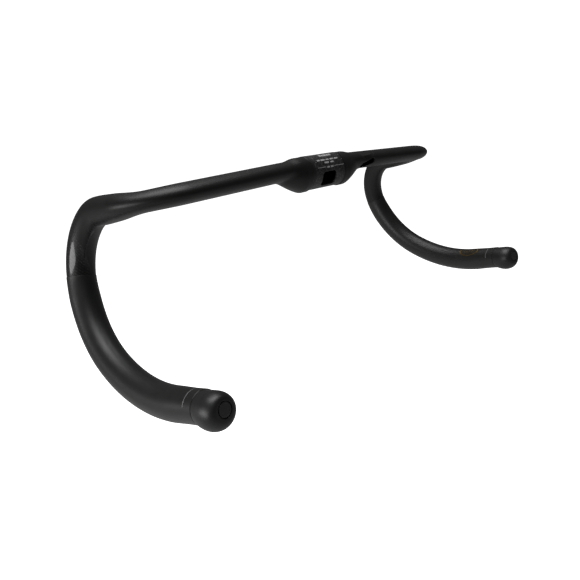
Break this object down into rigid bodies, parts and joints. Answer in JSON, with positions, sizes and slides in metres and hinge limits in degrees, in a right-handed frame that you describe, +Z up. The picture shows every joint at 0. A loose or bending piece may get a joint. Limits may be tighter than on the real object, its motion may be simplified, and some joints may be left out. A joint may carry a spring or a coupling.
{
  "type": "drop handlebar",
  "caption": "Bare carbon-look drop handlebar: oval tops beside a round stem clamp zone, flared hooks and drops, cable openings, and expanding end plugs.",
  "frame": {"origin": "centre of the round stem clamp zone, on its axis", "axes": "+X to the rider's right along the clamp zone's axis, +Y forwards in the riding direction, +Z up"},
  "size_m": [0.4622, 0.2198, 0.1654],
  "materials": {
    "clamp_weave": "satin",
    "matt_carbon": "matt",
    "gloss_weave": "gloss",
    "raw_carbon": "rough",
    "plug_rubber": "matt",
    "tip_plastic": "satin",
    "black_steel": "satin",
    "zinc_steel": "satin",
    "expander_nylon": "satin",
    "anodised_aluminium": "satin"
  },
  "bodies": {
    "bar": {"clamp_section": "clamp_weave", "left_top": "matt_carbon", "right_top": "matt_carbon", "left_lever_bend": "gloss_weave", "right_lever_bend": "gloss_weave", "left_drop": "matt_carbon", "right_drop": "matt_carbon", "left_centre_splice": "raw_carbon", "right_centre_splice": "raw_carbon", "left_lever_splice": "raw_carbon", "right_lever_splice": "raw_carbon", "left_drop_splice": "raw_carbon", "right_drop_splice": "raw_carbon"},
    "left_plug": {"left_plug_head": "plug_rubber", "left_expander": "expander_nylon", "left_bolt_washer": "zinc_steel"},
    "left_tip_cap": {"left_tip_cap": "tip_plastic"},
    "left_bolt": {"left_plug_bolt": "black_steel"},
    "left_wedge": {"left_wedge_nut": "anodised_aluminium"},
    "right_plug": {"right_plug_head": "plug_rubber", "right_expander": "expander_nylon", "right_bolt_washer": "zinc_steel"},
    "right_tip_cap": {"right_tip_cap": "tip_plastic"},
    "right_bolt": {"right_plug_bolt": "black_steel"},
    "right_wedge": {"right_wedge_nut": "anodised_aluminium"}
  },
  "joints": [
    {"name": "left_plug_pull", "type": "slide", "parent": "bar", "child": "left_plug", "axis": [0.144, -0.9536, 0.2643], "range_m": [0, 0.045]},
    {"name": "left_tip_cap_pull", "type": "slide", "parent": "left_plug", "child": "left_tip_cap", "axis": [0.144, -0.9536, 0.2643], "range_m": [0, 0.012]},
    {"name": "left_bolt_turn", "type": "hinge", "parent": "left_plug", "child": "left_bolt", "pos_m": [-0.20684, -0.08879, -0.12339], "axis": [0.144, -0.9536, 0.2643], "range_deg": [0, 1800.01]},
    {"name": "left_wedge_travel", "type": "slide", "parent": "left_plug", "child": "left_wedge", "axis": [-0.144, 0.9536, -0.2643], "range_m": [0, 0.004]},
    {"name": "right_plug_pull", "type": "slide", "parent": "bar", "child": "right_plug", "axis": [-0.144, -0.9536, 0.2643], "range_m": [0, 0.045]},
    {"name": "right_tip_cap_pull", "type": "slide", "parent": "right_plug", "child": "right_tip_cap", "axis": [-0.144, -0.9536, 0.2643], "range_m": [0, 0.012]},
    {"name": "right_bolt_turn", "type": "hinge", "parent": "right_plug", "child": "right_bolt", "pos_m": [0.20684, -0.08879, -0.12339], "axis": [-0.144, -0.9536, 0.2643], "range_deg": [0, 1800.01]},
    {"name": "right_wedge_travel", "type": "slide", "parent": "right_plug", "child": "right_wedge", "axis": [0.144, 0.9536, -0.2643], "range_m": [0, 0.004]}
  ],
  "couplings": [
    {"joint": "left_bolt_turn", "follows": "left_wedge_travel", "rad_per_m": 7854},
    {"joint": "right_bolt_turn", "follows": "right_wedge_travel", "rad_per_m": 7854}
  ]
}
